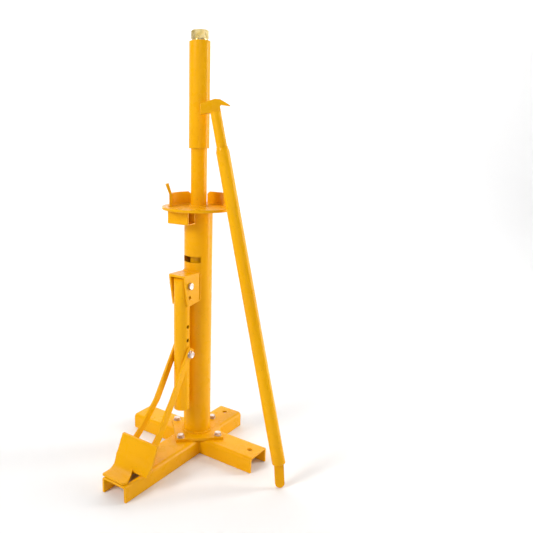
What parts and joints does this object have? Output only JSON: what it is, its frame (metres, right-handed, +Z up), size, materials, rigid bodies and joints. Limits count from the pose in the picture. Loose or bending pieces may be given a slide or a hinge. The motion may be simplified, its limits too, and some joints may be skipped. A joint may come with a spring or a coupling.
{
  "type": "manual tyre changer with bead breaker",
  "caption": "Floor-standing manual tyre changer: cross base, column, wheel table with screw clamp, hinged bead-breaker lever with shoe, and a loose tyre bar.",
  "frame": {"origin": "on the axis of the column, at floor level", "axes": "+Z up along the column, -Y along the long leg that the bead-breaker shoe rests on, +X along the right leg as seen from the breaker side"},
  "size_m": [0.4123, 0.4, 0.894],
  "materials": {
    "yellow_paint": "gloss",
    "zinc_steel": "zinc plated",
    "yellow_zinc": "yellow zinc plated"
  },
  "bodies": {
    "base": {"base_channel": "yellow_paint", "leg_right": "yellow_paint", "leg_left": "yellow_paint", "base_plate": "yellow_paint", "plate_bolts": "zinc_steel", "plate_washers": "zinc_steel", "plate_nuts": "zinc_steel", "column_tube": "yellow_paint", "table_stub": "yellow_paint", "breaker_bracket": "yellow_paint", "pivot_bolt": "zinc_steel", "pivot_nut": "zinc_steel", "wheel_table": "yellow_paint", "ear_left": "yellow_paint", "ear_right": "yellow_paint", "upper_post": "yellow_paint", "post_boss": "zinc_steel"},
    "lever": {"lever_tube": "yellow_paint"},
    "shoe": {"link_bar_left": "yellow_paint", "link_bar_right": "yellow_paint", "link_bolt": "zinc_steel", "link_washer": "zinc_steel", "shoe_plate": "yellow_paint"},
    "sleeve": {"clamp_sleeve": "yellow_paint", "sleeve_cap": "yellow_paint"},
    "screw": {"thrust_washer": "zinc_steel", "clamp_screw": "zinc_steel", "screw_head": "yellow_zinc", "screw_collar": "zinc_steel"},
    "tyre_bar": {"bar_tube": "yellow_paint", "bar_neck": "yellow_paint", "bar_head": "yellow_paint", "bar_spoon": "yellow_paint"}
  },
  "joints": [
    {"name": "lever_hinge", "type": "hinge", "parent": "base", "child": "lever", "pos_m": [0, -0.0555, 0.3875], "axis": [-1, 0, 0], "range_deg": [0, 95]},
    {"name": "shoe_hinge", "type": "hinge", "parent": "lever", "child": "shoe", "pos_m": [0, -0.0555, 0.2385], "axis": [-1, 0, 0], "range_deg": [-95, 0]},
    {"name": "sleeve_slide", "type": "slide", "parent": "base", "child": "sleeve", "axis": [0, 0, 1], "range_m": [-0.08, 0]},
    {"name": "screw_turn", "type": "hinge", "parent": "sleeve", "child": "screw", "pos_m": [0, 0, 0.8], "axis": [0, 0, 1], "range_deg": [-11521, 0]},
    {"name": "bar_lift", "type": "slide", "parent": "base", "child": "tyre_bar", "axis": [0.7961, 0.6051, 0], "range_m": [0, 0.3]}
  ],
  "couplings": [
    {"joint": "shoe_hinge", "follows": "lever_hinge", "ratio": -1},
    {"joint": "screw_turn", "follows": "sleeve_slide", "rad_per_m": 2513.3}
  ]
}
